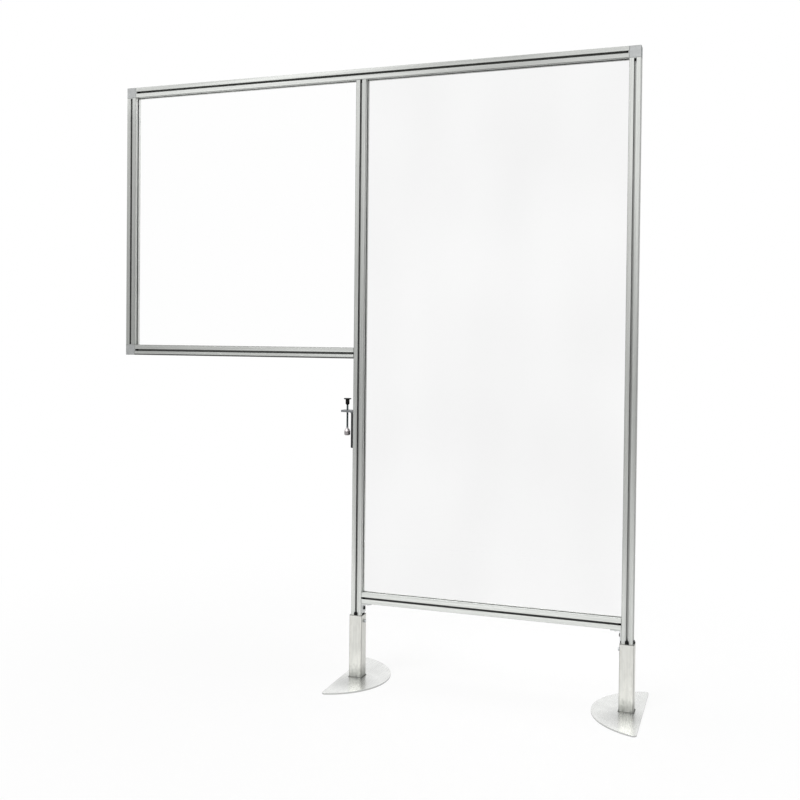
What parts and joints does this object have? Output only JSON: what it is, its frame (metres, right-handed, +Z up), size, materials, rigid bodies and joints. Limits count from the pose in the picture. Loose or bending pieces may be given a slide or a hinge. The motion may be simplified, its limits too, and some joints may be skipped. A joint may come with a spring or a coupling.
{
  "type": "sneeze guard",
  "caption": "Free-standing sneeze guard: clear sheets in a T-slot aluminium frame, with a wing over the counter, telescopic feet and a screw clamp.",
  "frame": {"origin": "on the floor, under the axis of the middle post, at the underside of the left foot's base plate", "axes": "+X from the wing bay to the main bay, +Y away from the guest, +Z up"},
  "size_m": [2.065, 0.4418, 2.284],
  "materials": {
    "anodised_aluminium": "satin natural anodising",
    "cast_cube": "die-cast, grey coating, matt",
    "cube_cap": "moulded grey plastic",
    "zinc_steel": "bright zinc plating",
    "clear_sheet": "clear polished acrylic sheet",
    "gasket_rubber": "extruded black rubber",
    "bracket_aluminium": "plain angle, tumbled",
    "black_oxide_steel": "black oxide, oiled",
    "plate_steel": "pale satin steel plate",
    "galvanised_tube": "mottled galvanised steel",
    "weld": "ground weld bead",
    "clamp_paint": "dark grey paint, half gloss",
    "knob_plastic": "moulded black plastic"
  },
  "bodies": {
    "frame": {"top_rail": "anodised_aluminium", "wing_post": "anodised_aluminium", "wing_rail": "anodised_aluminium", "middle_post": "anodised_aluminium", "right_post": "anodised_aluminium", "low_rail": "anodised_aluminium", "top_wing_cube": "cast_cube", "low_wing_cube": "cast_cube", "top_right_cube": "cast_cube", "top_wing_caps": "cube_cap", "low_wing_caps": "cube_cap", "top_right_caps": "cube_cap", "cube_screws": "zinc_steel", "anchor_plates": "zinc_steel", "anchor_screws": "zinc_steel", "main_sheet": "clear_sheet", "wing_sheet": "clear_sheet", "left_corner_bracket": "bracket_aluminium", "right_corner_bracket": "bracket_aluminium", "bracket_screws": "black_oxide_steel", "bracket_nuts": "zinc_steel", "main_left_gasket": "gasket_rubber", "main_right_gasket": "gasket_rubber", "main_lower_gasket": "gasket_rubber", "main_upper_gasket": "gasket_rubber", "wing_left_gasket": "gasket_rubber", "wing_right_gasket": "gasket_rubber", "wing_lower_gasket": "gasket_rubber", "wing_upper_gasket": "gasket_rubber"},
    "left_foot": {"left_base_plate": "plate_steel", "left_foot_tube": "galvanised_tube", "left_weld_bead": "weld", "left_set_screw": "zinc_steel"},
    "right_foot": {"right_base_plate": "plate_steel", "right_foot_tube": "galvanised_tube", "right_weld_bead": "weld", "right_set_screw": "zinc_steel"},
    "clamp": {"clamp_bracket": "clamp_paint", "clamp_screws": "zinc_steel", "clamp_nuts": "zinc_steel"},
    "screw_carriage": {"neck_washer": "zinc_steel"},
    "clamp_screw": {"spindle": "zinc_steel", "knob": "knob_plastic"},
    "pad": {"swivel_pad": "zinc_steel"}
  },
  "joints": [
    {"name": "left_foot_height", "type": "slide", "parent": "frame", "child": "left_foot", "axis": [0, 0, -1], "range_m": [0, 0.12]},
    {"name": "right_foot_height", "type": "slide", "parent": "frame", "child": "right_foot", "axis": [0, 0, -1], "range_m": [0, 0.12]},
    {"name": "clamp_height", "type": "slide", "parent": "frame", "child": "clamp", "axis": [0, 0, 1], "range_m": [-0.6, 0.09]},
    {"name": "screw_travel", "type": "slide", "parent": "clamp", "child": "screw_carriage", "axis": [0, 0, 1], "range_m": [-0.0185, 0.056]},
    {"name": "screw_turn", "type": "hinge", "parent": "screw_carriage", "child": "clamp_screw", "pos_m": [-0.05, 0, 1], "axis": [0, 0, 1], "range_deg": [-5330, 16130]},
    {"name": "pad_tilt", "type": "hinge", "parent": "screw_carriage", "child": "pad", "pos_m": [-0.05, 0, 0.928], "axis": [0, 1, 0], "range_deg": [-8, 8]}
  ],
  "couplings": [
    {"joint": "screw_turn", "follows": "screw_travel", "rad_per_m": 5026.5}
  ]
}
